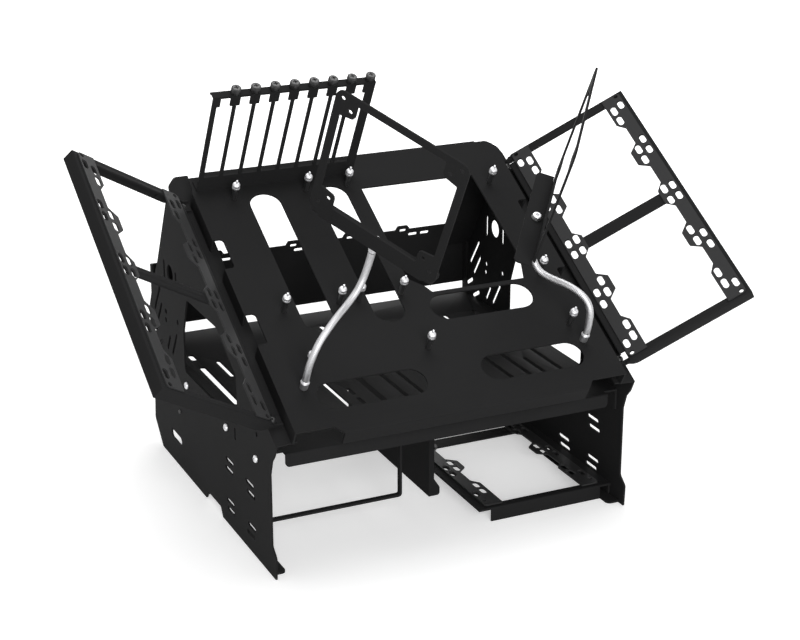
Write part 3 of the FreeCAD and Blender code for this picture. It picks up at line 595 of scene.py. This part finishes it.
def tray_zero():
    """Origin of the tray's frame: its middle, level with the front row."""
    studs = [Vector(m["pos_m"]) for m in frame["record"]["mounts"]
             if m["name"].startswith("board_stud")]
    front = min(studs, key=lambda p: (round(p.dot(SLOPE), 5), p.x))
    return front - TRAY_UP * STUD_HEIGHT - Vector((STUD_X, 0, 0))


def arm_line(name):
    """Smooth line through the points of an arm's route."""
    side = -1 if name == "left" else 1
    zero = tray_zero()
    foot = Vector((side * ARM_FOOT[0], ARM_FOOT[1]))
    tip = Vector(ARM_TIPS[name])
    pts = []
    for share, height in ARM_ROUTES[name]:
        p = foot.lerp(tip, share)
        pts.append(zero + (Vector((p.x, 0, 0)) + SLOPE * p.y
                           + TRAY_UP * height) * MM)
    ways = [TRAY_UP] + [(b - a).normalized() for a, b in zip(pts, pts[2:])]
    ways.append(TRAY_UP)
    line = []
    for i in range(len(pts) - 1):
        reach = (pts[i + 1] - pts[i]).length / 3.0
        steps = interpolate_bezier(pts[i], pts[i] + ways[i] * reach,
                                   pts[i + 1] - ways[i + 1] * reach,
                                   pts[i + 1], CURVE_STEPS)
        line += steps if not line else steps[1:]
    return line


def even(line, step):
    """The same line with points a fixed distance apart."""
    out = [line[0]]
    spare = 0.0
    for a, b in zip(line, line[1:]):
        span = (b - a).length
        at = step - spare
        while at <= span:
            out.append(a.lerp(b, at / span))
            at += step
        spare = span - (at - step)
    return out


def in_order(verts, centre, side, lift):
    """Vertices of a ring sorted by their turn round its centre, in which
    a whole turn counts as none."""
    def turn(v):
        d = v.co - centre
        return round(math.atan2(d.dot(lift), d.dot(side)) % math.tau, 3) \
            % round(math.tau, 3)
    return sorted(verts, key=turn)


def hose(name):
    """Flexible arm: a steel strip wound into a ribbed tube."""
    line = even(arm_line(name), HOSE_PITCH / HOSE_STEPS)
    bm = bmesh.new()
    side = TRAY_UP.cross(line[-1] - line[0]).normalized()
    deep = HOSE_CREST - HOSE_VALLEY
    ring = verts = centre = lift = None
    for i, p in enumerate(line):
        if ring is None:
            made = bmesh.ops.create_circle(bm, segments=HOSE_SIDES,
                                           radius=HOSE_CREST, cap_ends=True)
            verts = made["verts"]
            ring = list({e for v in verts for e in v.link_edges})
        else:
            made = bmesh.ops.extrude_edge_only(bm, edges=ring)["geom"]
            verts = [g for g in made if isinstance(g, bmesh.types.BMVert)]
            ring = [g for g in made if isinstance(g, bmesh.types.BMEdge)
                    and all(v in verts for v in g.verts)]
            verts = in_order(verts, centre, side, lift)
        ahead = (line[min(i + 1, len(line) - 1)] - line[max(i - 1, 0)])
        centre, lift = p, side.cross(ahead.normalized()).normalized()
        # The crest of the winding climbs by one pitch a turn
        for k, v in enumerate(verts):
            turn = math.tau * k / HOSE_SIDES
            phase = (i / HOSE_STEPS + k / HOSE_SIDES) % 1.0
            r = HOSE_VALLEY + deep * abs(math.sin(math.pi * phase)) ** 0.6
            v.co = p + side * math.cos(turn) * r + lift * math.sin(turn) * r
    bmesh.ops.holes_fill(bm, edges=bm.edges, sides=HOSE_SIDES)
    bmesh.ops.recalc_face_normals(bm, faces=bm.faces)
    for face in bm.faces:
        face.smooth = len(face.verts) == 4
    finished("hose_" + name, bm, STEEL, "arm_" + name)


def washer(points, seat):
    """Flat ring with a rounded rim under a fan frame's clamp screw."""
    r, low, high = extent(points, seat)
    bore = min(off_axis(p) for p in seated(points, seat))
    part = lathe([(bore, low), (r, low), (r, high - 0.5 * MM),
                  (r - 0.15 * MM, high - 0.15 * MM), (r - 0.5 * MM, high),
                  (bore, high), (bore, low)], 36)
    sharpened(part, 50)
    return part, 0


SHEETS = [
    ("black_coat", COAT,
     ["motherboard_tray", "side_panel_right", "side_panel_left", "deck",
      "rear_wall", "centre_wall", "wing_frame_right", "wing_frame_left",
      "wing_brackets_right", "wing_brackets_left", "card_bracket",
      "fan_frame_left", "fan_frame_right", "lower_bracket"]),
    ("strip_coat", COAT, ["power_supply_loop"]),
    ("strip_coat", STRIP_COAT,
     ["wing_strips_right", "wing_strips_left", "lower_strips"]),
    ("bright_steel", ZINC, ["arm_nuts"]),
]
for sheet_slot, coat, nodes in SHEETS:
    for sheet_node in nodes:
        softened(sheet_node, coat)

screws("card_bracket_screws", OXIDE)
screws("bracket_screws", OXIDE)
screws("clamp_screws", ZINC, bore=0.50, crown=0.4)
side_screws()
thumb_screws()
standoffs()
finished("dark_washers", gathered("clamp_washers", washer), OXIDE,
         "clamp_washers")
for arm_name in ARM_ROUTES:
    ferrules(arm_name)
    hose(arm_name)


def floor():
    """White ground that keeps the bench's soft shadow; its glow to the camera
    is painted light that grows with distance from the middle and fades the
    floor and the shadow out to white.
    """
    bm = bmesh.new()
    bmesh.ops.create_grid(bm, x_segments=1, y_segments=1, size=30.0)
    mesh = bpy.data.meshes.new("ground")
    bm.to_mesh(mesh)
    bm.free()
    f = Finish(bpy.data.materials.new("white_ground"))
    matt = f.add("ShaderNodeBsdfDiffuse", {}, {"Color": (0.80, 0.80, 0.80, 1)})
    away = f.add("ShaderNodeVectorMath", {"operation": "LENGTH"},
                 {0: f.place()}, out="Value")
    # Painted light: the glow that the camera sees rises from 0.44 near the
    # middle to 0.9 further out, washing the floor and the bench's shadow to
    # white with distance.
    painted_lift_by_distance = f.add("ShaderNodeMapRange", {}, {"Value": away, "From Min": 0.45,
                                           "From Max": 2.2, "To Min": 0.44,
                                           "To Max": 0.9})
    painted_glow = f.add("ShaderNodeEmission", {}, {"Color": WHITE, "Strength": painted_lift_by_distance})
    both = f.add("ShaderNodeAddShader", {}, {0: matt, 1: painted_glow})
    shader = f.add("ShaderNodeMixShader", {}, {0: f.in_view(), 1: matt,
                                               2: both})
    f.add("ShaderNodeOutputMaterial", {}, {"Surface": shader})
    mesh.materials.append(f.owner)
    ground = bpy.data.objects.new("ground", mesh)
    bpy.context.scene.collection.objects.link(ground)


def lamp(name, place, size, watts):
    """Square soft box that faces the bench."""
    data = bpy.data.lights.new(name, "AREA")
    data.size = size
    data.energy = watts
    soft_box = bpy.data.objects.new(name, data)
    bpy.context.scene.collection.objects.link(soft_box)
    soft_box.location = place
    away = Vector(place) - BENCH_MIDDLE
    soft_box.rotation_euler = away.to_track_quat("Z", "Y").to_euler()


def world():
    """Soft light from all round, in front of a white background."""
    f = Finish(bpy.data.worlds.new("studio"))
    bpy.context.scene.world = f.owner
    soft, white = [f.add("ShaderNodeBackground", {},
                         {"Color": WHITE, "Strength": strength})
                   for strength in (0.30, 1.0)]
    sky = f.add("ShaderNodeMixShader", {}, {0: f.in_view(), 1: soft,
                                            2: white})
    f.add("ShaderNodeOutputWorld", {}, {"Surface": sky})


def camera():
    """Camera at the photograph's place."""
    data = bpy.data.cameras.new("view")
    data.lens = LENS
    data.sensor_width = SENSOR
    data.clip_end = 100.0
    eye = bpy.data.objects.new("view", data)
    bpy.context.scene.collection.objects.link(eye)
    look = LOOK.normalized()
    right = look.cross(UP).normalized()
    turn = Matrix((right, right.cross(look), -look)).transposed().to_4x4()
    eye.matrix_world = Matrix.Translation(EYE) @ turn
    bpy.context.scene.camera = eye


floor()
world()
lamp("key", (-0.6, -2.9, 1.2), 1.6, 74.0)
lamp("top", (0.4, 0.5, 3.0), 2.4, 54.0)
lamp("rear", (1.3, 2.8, 1.0), 1.4, 26.0)
camera()
bpy.context.scene.view_settings.view_transform = "Standard"
